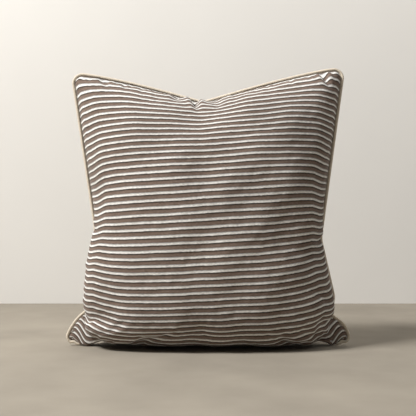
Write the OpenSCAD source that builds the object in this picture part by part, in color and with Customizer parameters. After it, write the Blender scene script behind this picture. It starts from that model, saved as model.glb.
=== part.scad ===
// A square throw pillow with a corded edge: a striped cover that opens on a zip in its bottom seam, and a
// stuffed insert inside it. Millimetres. It stands on its bottom edge with its front towards -Y and +X to the
// right, and the origin is on the surface under its middle. The seam lies in the plane y = 0.

/* [Stuffed size] */
// Width across the two bottom corners, cording included
cushion_w = 500; // [490:1:620]
// How far each top corner stands in from the bottom one
top_in = 11; // [0:1:25]
// How far the stuffing draws each side seam in at the waist
waist_in = 49; // [30:1:60]
// How far each side seam is drawn in at the hips, where the stuffing has settled
hip_in = 33; // [15:1:45]
// How far each side seam is tucked in over its bottom corner
tuck_in = 36; // [20:1:45]
// Height of the taller top corner, cording included
cushion_h = 488; // [430:1:600]
// How much lower the left top corner is
corner_tilt = 9; // [0:1:20]
// Greatest thickness from front to back
cushion_t = 204; // [165:1:250]

/* [Slump] */
// Height of the waist as a share of the cushion's
waist_up = 0.4; // [0.34:0.01:0.48]
// Height of the hips as a share of the cushion's
hip_up = 0.19; // [0.17:0.01:0.23]
// Height of the tucks over the bottom corners as a share of the cushion's
tuck_up = 0.12; // [0.1:0.01:0.13]
// How far the settled stuffing leans to the right
lean = 6; // [0:1:10]
// How much higher the left side's waist, hips and tuck are than the middle of the two sides
skew = 8; // [0:1:10]
// Depth of the dent chopped into the top edge
chop_depth = 52; // [10:1:80]
// How far the dent is to the left of the middle
chop_left = 9; // [0:1:30]
// How far the bellies hang below the line of the bottom seam
belly_drop = 57; // [55:1:68]
// How far the bellies swell out over the side seams
belly_out = 26; // [0:1:40]
// Radius of the top corners
corner_r = 12; // [8:1:30]
// Radius of the bottom corners
ear_r = 13; // [8:1:18]

/* [Cover] */
// Thickness of the striped cloth
cloth_t = 0.8; // [0.5:0.1:1.2]
// Width of the seam allowance
seam_allow = 12; // [9:0.5:14]
// Radius of the filler cord in the cording
cord_r = 1.9; // [1.5:0.1:2.6]
// Thickness of the bias strip around the cord
strip_t = 0.4; // [0.3:0.05:0.6]
// Width of the cording's sewn flange
flange_w = 10; // [8:0.5:12]
// Thickness of the seam thread
thread_t = 0.4; // [0.3:0.05:0.6]

/* [Zip] */
// Length of the teeth between the stops
zip_len = 350; // [250:1:350]
// Width of each tooth row
tooth_w = 1.8; // [1.4:0.1:2.2]
// Height of the tooth rows
tooth_h = 1.6; // [1.2:0.1:2]
// Gap that the slider's post runs in
chain_gap = 0.9; // [0.7:0.1:1.2]
// Thickness of the tape
tape_t = 0.5; // [0.4:0.05:0.6]
// Length of the slider
slider_len = 9; // [7:0.5:12]
// Length of the pull
pull_len = 15; // [13:0.5:24]
// Width of the pull
pull_w = 5; // [4:0.5:6]

/* [Insert] */
// Thickness of the insert's cotton
ticking_t = 0.6; // [0.4:0.1:0.8]
// Room between the cover and the insert
insert_gap = 1.4; // [1:0.1:2]
// How far the insert's own seam stays inside the cover's seam
insert_in = 24; // [23:1:27]

/* [Hidden] */

cover_n = 24;        // cells along each side of the cover's panels
insert_n = 16;       // cells along each side of the insert's panels
fit = 0.05;          // gap between layers that are sewn flat together
run = 0.3;           // running gap round the slider
tape_end = 7;        // tape past each stop
rise_run = 28;       // length over which the bottom seam climbs from a corner to the zip
seam_top_z = 20;     // height of the bottom seam along the zip
lift = 0.3;          // the cording's clearance over the surface
arc45 = 1 - sqrt(0.5);

// Cording: the cord's centre lies outside the seam line by cord_out
strip_r = cord_r + fit + strip_t;
cord_out = strip_r + 0.7;
bead_out = cord_out + strip_r;
flange_y = fit + strip_t;
rim_y = flange_y + fit;
allow_y = rim_y + cloth_t;
crease_in = 2.5;

// Seam outline
mid_z = cushion_h / 2;
half_span = min(cushion_w, cushion_h) / 2;
low_z = bead_out + lift;
low_half = cushion_w / 2 - bead_out;
top_half = low_half - top_in;
right_z = cushion_h - bead_out;
left_z = right_z - corner_tilt;
rise_from = low_half - ear_r;
ear_up = 0.65;       // an ear is rounded: at this share of the tuck's height it has
ear_share = 0.3;     // come in by this share of the tuck
chop_fade = 1.25;    // how fast the dent dies out sideways
chop_reach = 8;      // how fast it dies out down the panels

// Zip, across the cushion
slider_half = chain_gap / 2 + tooth_w + run + 1.05;
chain_y = strip_r + 0.35 + slider_half;
zip_gap = chain_y + slider_half + 0.9 + tape_t + fit;
tape_z = seam_top_z + 0.5;
tooth_z = tape_z - tooth_h;
plate_t = 0.9;
plate_low = tooth_z - run - plate_t;
plate_high = tape_z + tape_t + run;
pin_drop = 1.2;
pin_r = 0.58;
pin_z = plate_low - pin_drop;
pull_t = 1;
stop_len = 2.2;
slider_x = -zip_len / 2 + 1 + slider_len / 2;

// Insert
insert_skin = cloth_t + insert_gap;
fill_skin = insert_skin + ticking_t + 0.9;

// Smooth step from 0 to 1 as t goes from 0 to 1
function ease(t) = t <= 0 ? 0 : t >= 1 ? 1 : (1 - cos(180 * t)) / 2;
// How far a corner arc of radius r falls away at distance a from the middle of a side of half length h
function arc_drop(a, h, r) = let (e = abs(a) - (h - r)) e <= 0 ? 0 : r - sqrt(r * r - e * e);
// Grid lines crowd towards the seam, where the cloth curves most
function line_at(i, n) = sin(180 * i / n - 90);

// Height of the top seam at x before the dent: a straight line between the corners
function top_z(x) =
    let (across = min(1, max(-1, x / (top_half - corner_r))))
    left_z + corner_tilt * (across + 1) / 2;
// Depth of the dent at x
function dent(x) =
    let (
        span = top_half - corner_r,
        t = min(1, abs(x + chop_left) / (x < -chop_left ? span - chop_left : span + chop_left))
    )
    chop_depth * pow(1 - t, chop_fade);

// Height of the bottom seam at x: level along the zip, lower at the corners
function low_seam_z(x) = low_z + (seam_top_z - low_z) * ease((rise_from - abs(x)) / rise_run);

// Half width of the seam outline at height z, through the ear, the tuck, the hips and the waist
function side_half(z, dir, peak_z) =
    let (tuck_z = tuck_up * cushion_h - dir * skew, tuck = low_half - tuck_in + dir * lean / 2)
    lookup(z, [
        [low_z + ear_r, low_half],
        [ear_up * tuck_z, low_half - ear_share * (low_half - tuck)],
        [tuck_z, tuck],
        [hip_up * cushion_h - dir * skew, low_half - hip_in + dir * lean],
        [waist_up * cushion_h - dir * skew, low_half - waist_in],
        [peak_z - corner_r, top_half]
    ]);

// The four sides of the seam outline as [x, z], each from -1 to 1
function top_side(s) =
    let (x = s * (top_half - arc45 * corner_r)) [x, top_z(x) - arc_drop(x, top_half, corner_r)];
function low_side(s) =
    let (x = s * (low_half - arc45 * ear_r)) [x, low_seam_z(x) + arc_drop(x, low_half, ear_r)];
function upright_side(s, dir, peak_z) =
    let (
        z0 = low_z + arc45 * ear_r,
        z1 = peak_z - arc45 * corner_r,
        z = z0 + (z1 - z0) * (s + 1) / 2,
        top_e = max(0, z - peak_z + corner_r),
        low_e = max(0, low_z + ear_r - z),
        cut = corner_r - sqrt(corner_r * corner_r - top_e * top_e) + ear_r - sqrt(ear_r * ear_r - low_e * low_e)
    )
    [dir * (side_half(z, dir, peak_z) - cut), z];
function left_side(s) = upright_side(s, -1, left_z);
function right_side(s) = upright_side(s, 1, right_z);

// The seam outline filled in: each point is blended from the four sides, then the dent is pressed into the top
function outline(u, v) =
    let (a = (u + 1) / 2, b = (v + 1) / 2, top = top_side(u))
    (1 - b) * low_side(u) + b * top + (1 - a) * left_side(v) + a * right_side(v)
    - (1 - a) * (1 - b) * low_side(-1) - a * (1 - b) * low_side(1)
    - (1 - a) * b * top_side(-1) - a * b * top_side(1)
    - [0, dent(top[0]) * pow(b, chop_reach)];

// Share of the full thickness at (u, v): round at the seam, thickest low down, with a valley under the dent
function crown(u, v) =
    let (
        w = v + 0.12 * (1 - v * v),
        valley = 0.08 * exp(-pow((u + chop_left / top_half) / 0.28, 2)) * ease((v - 0.1) / 0.9)
    )
    sqrt(max(0, (1 - pow(abs(u), 2.6)) * (1 - pow(abs(w), 2.6)))) * (1 - valley);

// How much the cloth swells sideways over the side seams
function swell(u, v) = 3.08 * pow(abs(u), 3) * sqrt(max(0, 1 - u * u)) * sign(u)
    * ease((0.25 - v) / 0.6) * ease((1 + v) / 0.25);
// How much the cloth hangs below the outline
function hang(u, v) = pow(max(0, 1 - pow(abs(v), 8)), 0.35) * (1 - pow(abs(u), 6)) * ease((0.6 - v) / 1.4)
    * ease((1 + v) / 0.06 + 0.25);
// How much of the zip's width the back panel steps back by
function zip_step(u, v) = zip_gap * ease((rise_from - abs(u) * low_half) / rise_run) * ease((-0.5 - v) / 0.5);

// A point of a layer. side is -1 for front and 1 for back, rim is how far its edge stays inside the seam,
// skin how far it lies under the cover's outside, edge_y how far its edge is from the seam plane, and
// late holds the hanging part clear of the zip.
function layer(u, v, side, rim, skin, edge_y, late = false) =
    let (
        f = crown(u, v),
        in = skin + (rim - skin) * (1 - sqrt(f)),
        k = 1 - in / half_span,
        c = outline(u, v),
        wait = late ? ease((f - 0.15) / 0.4) : 1,
        x = (c[0] + belly_out * swell(u, v)) * k,
        z = mid_z + (c[1] - mid_z) * k - belly_drop * hang(u, v) * wait,
        y = edge_y + (cushion_t / 2 - skin - edge_y) * f,
        step = side > 0 && !late ? zip_step(u, v) : 0
    )
    [x, side * y + step, max(z, skin)];

function grid_points(n, side, rim, skin, edge_y, late = false) =
    [for (i = [0 : n], j = [0 : n]) layer(line_at(i, n), line_at(j, n), side, rim, skin, edge_y, late)];

// A point of the outline drawn in towards the middle of the cushion
function drawn_in(c, by) = let (k = 1 - by / half_span) [c[0] * k, mid_z + (c[1] - mid_z) * k];

// The n * 4 edge places of a grid, counter-clockwise seen from the front, as [i, j]
function edge_place(k, n) =
    k < n ? [k, 0] : k < 2 * n ? [n, k - n] : k < 3 * n ? [3 * n - k, n] : [0, 4 * n - k];
function edge_index(k, n) = let (p = edge_place(k % (4 * n), n)) p[0] * (n + 1) + p[1];
function edge_point(k, n) =
    let (p = edge_place((k + 4 * n) % (4 * n), n)) outline(line_at(p[0], n), line_at(p[1], n));
function edge_ring(n, side, rim, y) = [
    for (k = [0 : 4 * n - 1])
        let (
            p = edge_place(k, n),
            c = drawn_in(edge_point(k, n), rim),
            step = side > 0 ? zip_step(line_at(p[0], n), line_at(p[1], n)) : 0
        )
        [c[0], side * y + step, c[1]]
];

function quad(a, b, c, d, flip) = flip ? [[a, c, b], [a, d, c]] : [[a, b, c], [a, c, d]];
function grid_faces(n, start, flip) = [
    for (i = [0 : n - 1], j = [0 : n - 1])
        let (p = start + i * (n + 1) + j)
        each quad(p, p + 1, p + n + 2, p + n + 1, flip)
];
// Faces between two rings, each given by a function of k
function ring_faces(n, from, to, flip) = [
    for (k = [0 : 4 * n - 1])
        let (m = (k + 1) % (4 * n))
        each quad(from[k], from[m], to[m], to[k], flip)
];

// A cloth panel with its seam allowance turned in behind the seam
module cover_panel(side) {
    n = cover_n;
    count = (n + 1) * (n + 1);
    flip = side > 0;
    rim = [for (k = [0 : 4 * n - 1]) edge_index(k, n)];
    low = [for (k = [0 : 4 * n - 1]) 2 * count + k];
    high = [for (k = [0 : 4 * n - 1]) 2 * count + 4 * n + k];
    inner = [for (k = [0 : 4 * n - 1]) count + edge_index(k, n)];
    polyhedron(
        points = concat(
            grid_points(n, side, 0, 0, rim_y),
            grid_points(n, side, crease_in, cloth_t, allow_y),
            edge_ring(n, side, seam_allow, rim_y),
            edge_ring(n, side, seam_allow, allow_y)
        ),
        faces = concat(
            ring_faces(n, rim, low, flip),
            ring_faces(n, low, high, flip),
            ring_faces(n, high, inner, flip),
            grid_faces(n, 0, flip),
            grid_faces(n, count, !flip)
        )
    );
}

// A thin panel of the insert, open where it meets its pair
module insert_panel(side) {
    n = insert_n;
    count = (n + 1) * (n + 1);
    flip = side > 0;
    rim = [for (k = [0 : 4 * n - 1]) edge_index(k, n)];
    inner = [for (k = [0 : 4 * n - 1]) count + edge_index(k, n)];
    polyhedron(
        points = concat(
            grid_points(n, side, insert_in, insert_skin, 0, true),
            grid_points(n, side, insert_in + 2 * ticking_t, insert_skin + ticking_t, 0, true)
        ),
        faces = concat(
            ring_faces(n, rim, inner, flip),
            grid_faces(n, 0, flip),
            grid_faces(n, count, !flip)
        )
    );
}

// A closed profile of [outwards, across] points carried round the seam outline. What lies inside the seam is
// drawn in as the allowances are, so that the flange stays between them.
module round_the_seam(profile) {
    n = cover_n;
    m = len(profile);
    rings = 4 * n;
    points = [
        for (k = [0 : rings - 1])
            let (
                here = edge_point(k, n),
                along = edge_point(k + 1, n) - edge_point(k - 1, n),
                out = [along[1], -along[0]] / norm(along)
            )
            for (p = profile) let (at = p[0] < 0 ? drawn_in(here, -p[0]) : here + out * p[0]) [at[0], p[1], at[1]]
    ];
    faces = [
        for (k = [0 : rings - 1], i = [0 : m - 1])
            let (next = (k + 1) % rings, up = (i + 1) % m)
            each quad(k * m + i, k * m + up, next * m + up, next * m + i, true)
    ];
    polyhedron(points = points, faces = faces);
}

function round_points(r, angles) = [for (a = angles) [cord_out + r * cos(a), r * sin(a)]];

module front_panel() { color("#8a7d74") cover_panel(-1); }
module back_panel() { color("#7d7169") cover_panel(1); }

module piping_cord() {
    color("#f2eee4") round_the_seam(round_points(cord_r, [for (a = [0 : 45 : 315]) a]));
}

// The bias strip goes round the cord and its two edges lie together as the flange
module piping_cover() {
    open_out = asin(flange_y / strip_r);
    open_in = asin(fit / (cord_r + fit));
    turn = [for (a = [225 : 45 : 495]) a];
    outside = concat([180 + open_out], turn, [540 - open_out]);
    back_turn = [for (a = [495 : -45 : 225]) a];
    inside = concat([540 - open_in], back_turn, [180 + open_in]);
    color("#d8c9b0") round_the_seam(concat(
        [[-flange_w, -flange_y]],
        round_points(strip_r, outside),
        [[-flange_w, flange_y], [-flange_w, fit]],
        round_points(cord_r + fit, inside),
        [[-flange_w, -fit]]
    ));
}

// One line of stitches on each panel's allowance
module seam_thread() {
    n = cover_n;
    near = crease_in + 1.5;
    far = near + thread_t;
    y0 = allow_y + fit;
    y1 = y0 + thread_t;
    for (side = [-1, 1]) {
        points = concat(
            edge_ring(n, side, near, y0), edge_ring(n, side, far, y0),
            edge_ring(n, side, far, y1), edge_ring(n, side, near, y1)
        );
        ring = [for (r = [0 : 3]) [for (k = [0 : 4 * n - 1]) r * 4 * n + k]];
        faces = [for (r = [0 : 3]) each ring_faces(n, ring[r], ring[(r + 1) % 4], side > 0)];
        color("#b9ab97") polyhedron(points = points, faces = faces);
    }
}

// Zip: an L of tape on each side, its foot holding the tooth row and its leg sewn to the allowance
module zip_tape(leg_y, foot_end) {
    leg_dir = foot_end > leg_y ? 1 : -1;
    color("#cfc3ae") translate([-zip_len / 2 - tape_end, 0, 0]) rotate([90, 0, 90])
        linear_extrude(zip_len + 2 * tape_end)
            polygon([
                [leg_y, tape_z], [foot_end, tape_z], [foot_end, tape_z + tape_t],
                [leg_y + leg_dir * tape_t, tape_z + tape_t],
                [leg_y + leg_dir * tape_t, seam_top_z + seam_allow - 1],
                [leg_y, seam_top_z + seam_allow - 1]
            ]);
}
module zip_tape_front() { zip_tape(rim_y, chain_y - chain_gap / 2); }
module zip_tape_back() { zip_tape(zip_gap + flange_y, chain_y + chain_gap / 2); }

module tooth_row(dir) {
    chamfer = 0.3;
    near = chain_gap / 2;
    far = near + tooth_w;
    color("#e6ddcb") translate([-zip_len / 2, chain_y, 0]) rotate([90, 0, 90])
        linear_extrude(zip_len)
            polygon([
                [dir * near, tape_z], [dir * far, tape_z], [dir * far, tooth_z + chamfer],
                [dir * (far - chamfer), tooth_z], [dir * (near + chamfer), tooth_z],
                [dir * near, tooth_z + chamfer]
            ]);
}
module zip_teeth_front() { tooth_row(-1); }
module zip_teeth_back() { tooth_row(1); }

// The top stops close on one tape each, just past the last teeth
module zip_top_stops() {
    near = chain_gap / 2 + 0.1;
    for (dir = [-1, 1])
        color("#b98f4e") translate([-zip_len / 2 - stop_len - fit, chain_y, 0])
            stop_clip(dir > 0 ? near : -near - tooth_w, tooth_w);
}
// The bottom stop holds both tapes
module zip_bottom_stop() {
    half = chain_gap / 2 + tooth_w;
    color("#b98f4e") translate([zip_len / 2 + fit, chain_y, 0]) stop_clip(-half, 2 * half);
}
// A small metal clip under the tape
module stop_clip(y, w) {
    translate([0, y, tape_z - tooth_h]) cube([stop_len, w, tooth_h - fit]);
}

// Lines of stitches that hold the zip's legs to the allowances
module zip_thread() {
    z = seam_top_z + seam_allow - 5;
    for (y = [rim_y + tape_t + fit, zip_gap + flange_y - tape_t - fit - thread_t])
        color("#b9ab97") translate([-zip_len / 2, y, z]) cube([zip_len, thread_t, thread_t]);
}

// Slider: two plates and side walls round the chain, a post between the tooth rows, and a bridge for the pull
module zip_slider() {
    wall = 1.05;
    post_w = chain_gap - 0.4;
    bridge_w = 1.8;
    bridge_half = 2.6;
    color("#c59a55") difference() {
        translate([slider_x, chain_y, 0]) union() {
            for (z = [plate_low, plate_high])
                translate([0, 0, z]) linear_extrude(plate_t) slider_outline();
            for (y = [-slider_half, slider_half - wall])
                translate([-slider_len / 2 + 1.5, y, plate_low])
                    cube([slider_len - 3, wall, tape_z - run - plate_low]);
            translate([-1.5, -post_w / 2, plate_low]) cube([3, post_w, plate_high + plate_t - plate_low]);
            translate([0, bridge_w / 2, plate_low]) rotate([90, 0, 0]) linear_extrude(bridge_w)
                polygon([
                    [-bridge_half, 0.1], [-1.2, -2 * pin_drop + 0.3], [1.2, -2 * pin_drop + 0.3], [bridge_half, 0.1]
                ]);
        }
        translate([slider_x, chain_y, pin_z]) rotate([90, 0, 0])
            cylinder(r = pin_r + 0.07, h = 4, center = true, $fn = 32);
    }
}
module slider_outline() {
    h = slider_half;
    l = slider_len / 2;
    polygon([
        [-l, -h + 1.2], [-l + 1.2, -h], [l - 2, -h], [l, -h + 1.8],
        [l, h - 1.8], [l - 2, h], [-l + 1.2, h], [-l, h - 1.2]
    ]);
}

// Pull: a pin through the bridge, two arms past it and a flat tab with a slot
module zip_pull() {
    arm_w = 1;
    arm_in = 1.15;
    tab_from = 3.6;
    end_r = pull_w / 2;
    pin_half = arm_in + arm_w / 2;
    color("#c59a55") translate([slider_x, chain_y, pin_z]) union() {
        rotate([90, 0, 0]) cylinder(r = pin_r, h = 2 * pin_half, center = true, $fn = 32);
        for (y = [arm_in, -arm_in - arm_w]) {
            translate([0, y + arm_w, 0]) rotate([90, 0, 0]) cylinder(r = 0.85, h = arm_w, $fn = 32);
            translate([0, y, -pull_t / 2]) cube([tab_from + 1, arm_w, pull_t]);
        }
        translate([0, 0, -pull_t / 2]) linear_extrude(pull_t) difference() {
            union() {
                translate([tab_from, -end_r]) square([pull_len - tab_from - end_r, pull_w]);
                translate([pull_len - end_r, 0]) circle(r = end_r, $fn = 48);
            }
            translate([pull_len - end_r - 5, -0.9]) square([4, 1.8]);
        }
    }
}

module insert_front() { color("#f7f5ef") insert_panel(-1); }
module insert_back() { color("#f7f5ef") insert_panel(1); }

// The stuffing, one closed lump that fills the insert
module insert_fill() {
    n = insert_n;
    count = (n + 1) * (n + 1);
    edge = insert_in + 2 * ticking_t + 3;
    front = [for (k = [0 : 4 * n - 1]) edge_index(k, n)];
    back = [for (k = [0 : 4 * n - 1]) count + edge_index(k, n)];
    flat = 0.2;
    color("#fffdf8") polyhedron(
        points = concat(
            grid_points(n, -1, edge, fill_skin, flat, true),
            grid_points(n, 1, edge, fill_skin, flat, true)
        ),
        faces = concat(
            grid_faces(n, 0, false),
            grid_faces(n, count, true),
            ring_faces(n, front, back, false)
        )
    );
}

front_panel();
back_panel();
piping_cord();
piping_cover();
seam_thread();
zip_tape_front();
zip_tape_back();
zip_teeth_front();
zip_teeth_back();
zip_top_stops();
zip_bottom_stop();
zip_thread();
zip_slider();
zip_pull();
insert_front();
insert_back();
insert_fill();
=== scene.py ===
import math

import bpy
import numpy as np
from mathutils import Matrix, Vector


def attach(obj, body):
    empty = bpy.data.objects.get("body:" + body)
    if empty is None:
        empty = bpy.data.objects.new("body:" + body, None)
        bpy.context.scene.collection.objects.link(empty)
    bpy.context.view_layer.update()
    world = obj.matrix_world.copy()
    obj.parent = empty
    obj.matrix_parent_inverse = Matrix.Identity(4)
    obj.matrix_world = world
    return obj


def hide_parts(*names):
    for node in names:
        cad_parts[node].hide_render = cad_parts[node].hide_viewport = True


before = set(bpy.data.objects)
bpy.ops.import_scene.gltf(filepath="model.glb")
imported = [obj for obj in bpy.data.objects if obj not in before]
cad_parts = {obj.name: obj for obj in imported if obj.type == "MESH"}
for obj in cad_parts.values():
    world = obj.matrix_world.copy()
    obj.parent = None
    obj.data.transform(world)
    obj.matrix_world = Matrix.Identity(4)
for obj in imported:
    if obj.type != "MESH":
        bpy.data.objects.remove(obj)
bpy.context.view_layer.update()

# %% [markdown]
# # A corded throw pillow, standing on its bottom edge
# The frame has just brought in the CAD parts, in metres: X runs along the pillow, the front faces -Y,
# Z is up, and the seam lies in the plane y = 0. The metal of the zip keeps its CAD shape. Everything
# that is cloth, cord, thread or stuffing is made again here, because cloth has folds and a weave that
# a CAD solid hasn't. The finished pillow has to stay inside it.

scene = bpy.context.scene

# %% [markdown]
# ## Camera, floor and light
# The pillow stands on a pale floor in front of a pale wall. The camera is level, a little under half
# the pillow's height, and looks straight at the front. One large soft lamp stands high on the left,
# so the light falls off to the right and a soft shadow lies there; the room only fills the shadows.

# %% Camera
CAMERA_AWAY = 1.45
CAMERA_UP = 0.242
camera_data = bpy.data.cameras.new("camera")
camera_data.lens = 71.4
camera_data.sensor_width = 36
camera = bpy.data.objects.new("camera", camera_data)
camera.location = (0, -CAMERA_AWAY, CAMERA_UP)
camera.rotation_euler = (math.pi / 2, 0, 0)
scene.collection.objects.link(camera)
scene.camera = camera
print("camera", tuple(round(c, 3) for c in camera.location))

# %% Helpers for meshes
FRONT, BACK = -1, 1


def grid_quads(rows, cols, wrap=False, flip=False, start=0):
    """Faces between the points of a grid numbered row by row; wrap joins the last row to the first and the
    last column to the first, and flip turns the faces round."""
    index = start + np.arange(rows * cols).reshape(rows, cols)
    if wrap:
        index = np.vstack([index, index[:1]])
        index = np.hstack([index, index[:, :1]])
    faces = np.stack([index[:-1, :-1], index[1:, :-1], index[1:, 1:], index[:-1, 1:]], -1).reshape(-1, 4)
    return faces[:, ::-1] if flip else faces


def mesh_object(name, points, faces, uv=None, material=None):
    """A smooth mesh from arrays of points and faces. uv holds a place on the cloth, in metres, for each
    point or for each corner of each face."""
    mesh = bpy.data.meshes.new(name)
    mesh.from_pydata(np.asarray(points, float).tolist(), [], faces.tolist())
    mesh.polygons.foreach_set("use_smooth", np.ones(len(mesh.polygons), bool))
    if uv is not None:
        corners = uv if uv.ndim == 3 else uv[faces]
        mesh.uv_layers.new(name="cloth").data.foreach_set("uv", corners.astype(np.float32).ravel())
    if material:
        mesh.materials.append(material)
    mesh.update()
    made = bpy.data.objects.new(name, mesh)
    scene.collection.objects.link(made)
    return made


def piece(name, points, faces, uv, material, stands_for):
    """A finished piece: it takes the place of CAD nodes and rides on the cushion."""
    made = mesh_object(name, points, faces, uv, material)
    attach(made, "cushion")
    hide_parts(*stands_for)
    print(f"{name}: {len(faces)} faces")
    return made


# %% Helpers for materials
def node(tree, kind, inputs=None, **settings):
    """A shader node with its settings. An input given as another node's socket is linked, a value is set."""
    made = tree.nodes.new("ShaderNode" + kind)
    for key, value in settings.items():
        setattr(made, key, value)
    for key, value in (inputs or {}).items():
        if isinstance(value, bpy.types.NodeSocket):
            tree.links.new(value, made.inputs[key])
        else:
            made.inputs[key].default_value = value
    return made


def maths(tree, operation, a, b=0.0):
    """The result of one sum on two values."""
    return node(tree, "Math", {0: a, 1: b}, operation=operation).outputs[0]


def ramp(tree, factor, stops):
    """A colour read off a straight ramp of (place, colour) stops."""
    made = node(tree, "ValToRGB", {"Fac": factor})
    elements = made.color_ramp.elements
    while len(elements) < len(stops):
        elements.new(0.5)
    for element, (place, colour) in zip(elements, stops):
        element.position = place
        element.color = (*colour, 1)
    return made.outputs["Color"]


def noise(tree, vector, scale, stretch=(1, 1, 1), detail=2.0):
    """Noise from 0 to 1 with scale lumps to the metre, finer along the axes with a larger stretch."""
    placed = node(tree, "Mapping", {"Vector": vector, "Scale": stretch}).outputs[0]
    return node(tree, "TexNoise", {"Vector": placed, "Scale": scale, "Detail": detail}).outputs["Fac"]


def finish(name, roughness, metallic=0.0, sheen=0.0):
    """A new material, its node tree and its shader."""
    made = bpy.data.materials.new(name)
    made.use_nodes = True
    shader = made.node_tree.nodes["Principled BSDF"]
    shader.inputs["Roughness"].default_value = roughness
    shader.inputs["Metallic"].default_value = metallic
    shader.inputs["Specular IOR Level"].default_value = 0.5 if metallic else 0.25
    if sheen:
        shader.inputs["Sheen Weight"].default_value = sheen
        shader.inputs["Sheen Roughness"].default_value = 0.5
    return made, made.node_tree, shader


def relief(tree, shader, height, strength, distance):
    """Bumps the shader by a height."""
    bump = node(tree, "Bump", {"Height": height, "Strength": strength, "Distance": distance})
    tree.links.new(bump.outputs["Normal"], shader.inputs["Normal"])


def tinted(tree, colour, factor, dark, light):
    """The colour times a grey that runs from dark to light with the factor."""
    shade = ramp(tree, factor, [(0.3, (dark,) * 3), (0.7, (light,) * 3)])
    mixed = node(tree, "MixRGB", {"Fac": 1.0, "Color1": colour, "Color2": shade}, blend_type="MULTIPLY")
    return mixed.outputs[0]


# %% Floor, wall and lamps
WALL_Y, ROOM_HALF, WALL_H = 0.64, 4, 3


def stage_sheet(name, corners, colour, low, high):
    """A flat sheet of the room, its colour mottled between a low and a high share."""
    material, tree, shader = finish(name + "_finish", 0.85)
    place = node(tree, "TexCoord").outputs["Object"]
    mottled = tinted(tree, (*colour, 1), noise(tree, place, 7, detail=6.0), low, high)
    tree.links.new(mottled, shader.inputs["Base Color"])
    made = mesh_object(name, np.array(corners), np.array([[0, 1, 2, 3]]), None, material)


foot_of_wall = [(ROOM_HALF, WALL_Y, 0), (-ROOM_HALF, WALL_Y, 0)]
near_edge = [(-ROOM_HALF, -ROOM_HALF, 0), (ROOM_HALF, -ROOM_HALF, 0)]
top_of_wall = [(ROOM_HALF, WALL_Y, WALL_H), (-ROOM_HALF, WALL_Y, WALL_H)]
stage_sheet("floor", near_edge + foot_of_wall, (0.32, 0.285, 0.235), 0.88, 1.08)
stage_sheet("wall", foot_of_wall[::-1] + top_of_wall, (0.80, 0.78, 0.745), 0.99, 1.005)


def soft_lamp(name, place, target, size, power, colour):
    """A square area lamp that faces its target."""
    data = bpy.data.lights.new(name, "AREA")
    data.size, data.energy, data.color = size, power, colour
    lamp = bpy.data.objects.new(name, data)
    lamp.location = place
    lamp.rotation_euler = (Vector(target) - Vector(place)).to_track_quat("-Z", "Y").to_euler()
    scene.collection.objects.link(lamp)


soft_lamp("key_lamp", (-1.8, -1.05, 2.5), (0, 0, 0.3), 0.8, 130, (1, 0.99, 0.97))
soft_lamp("wall_lamp", (0.9, -0.2, 1.5), (0.6, WALL_Y, 0.7), 1.4, 6, (1, 0.985, 0.96))
room = bpy.data.worlds.new("room")
room.use_nodes = True
room.node_tree.nodes["Background"].inputs["Color"].default_value = (0.95, 0.93, 0.9, 1)
room.node_tree.nodes["Background"].inputs["Strength"].default_value = 0.05
scene.world = room
scene.view_settings.view_transform = "Standard"
print("lamps and stage ready")

# %% [markdown]
# ## The seam's outline
# The cover is two flat squares of cloth, 496 mm from seam to seam, sewn face to face round a cord.
# Stuffing draws the seam in between its corners: a waist on each side, hips where the stuffing has
# settled, a tuck over each bottom corner, and a chop, the dent left by a blow on the top with the edge
# of the hand. The seam could be found by simulation, but its shape is what one sees first, so it is set
# by numbers here and the cloth is then blown up inside it.

# %% Sizes, in metres
CUSHION_W, TOP_W, CUSHION_H, CORNER_TILT = 0.500, 0.478, 0.488, 0.009
CORNER_R, EAR_R = 0.012, 0.013
CORD_R, STRIP_R, FLANGE_Y = 0.0019, 0.00235, 0.00045
CORD_OUT = STRIP_R + 0.0007
BEAD_OUT = CORD_OUT + STRIP_R
RIM_Y, CLOTH_T, SEAM_ALLOW = 0.0005, 0.0008, 0.012
LOW_Z = BEAD_OUT + 0.0003
SEAM_TOP_Z, RISE_RUN = 0.020, 0.028
ZIP_GAP = 0.01135
DENT_DEPTH, DENT_X = 0.052, -0.009
FLAT = 0.496
STRIPES = 47
ARC_45 = 1 - math.sqrt(0.5)
low_half, top_half = CUSHION_W / 2 - BEAD_OUT, TOP_W / 2 - BEAD_OUT
right_z = CUSHION_H - BEAD_OUT
left_z = right_z - CORNER_TILT
rise_from = low_half - EAR_R
# height and half width up each side: the ear, the slant over it, the tuck, the hips and the waist
STATIONS = {
    -1: [(0.036, 0.2350), (0.050, 0.2240), (0.0655, 0.2035), (0.100, 0.2040), (0.205, 0.1950)],
    1: [(0.031, 0.2400), (0.041, 0.2320), (0.0520, 0.2125), (0.086, 0.2185), (0.188, 0.1950)],
}


# %% The outline's four sides
def ease(t):
    """Rises from 0 to 1 as t does, level at both ends: half of one minus the cosine of pi t."""
    return (1 - np.cos(np.pi * np.clip(t, 0, 1))) / 2


def arc_drop(a, half, radius):
    """How far a corner's arc falls away at distance a from the middle of a side."""
    past = np.clip(np.abs(a) - (half - radius), 0, radius)
    return radius - np.sqrt(radius**2 - past**2)


def dent(x):
    """Depth of the chop at x: deepest at its middle, where its point is rounded off over 3 % of the run."""
    span = top_half - CORNER_R
    t = np.minimum(1, np.abs(x - DENT_X) / np.where(x < DENT_X, span + DENT_X, span - DENT_X))
    t = np.clip(np.sqrt(t * t + 0.0009) - 0.0296 * (1 - t), 0, 1)
    return DENT_DEPTH * (1 - t) ** 1.25


def top_side(s, depth=1.0):
    """The top seam: a line from the left corner to the higher right one, less the dent."""
    x = s * (top_half - ARC_45 * CORNER_R)
    across = np.clip(x / (top_half - CORNER_R), -1, 1)
    z = left_z + CORNER_TILT * (across + 1) / 2 - depth * dent(x) - arc_drop(x, top_half, CORNER_R)
    return np.stack([x, z], 1)


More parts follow.
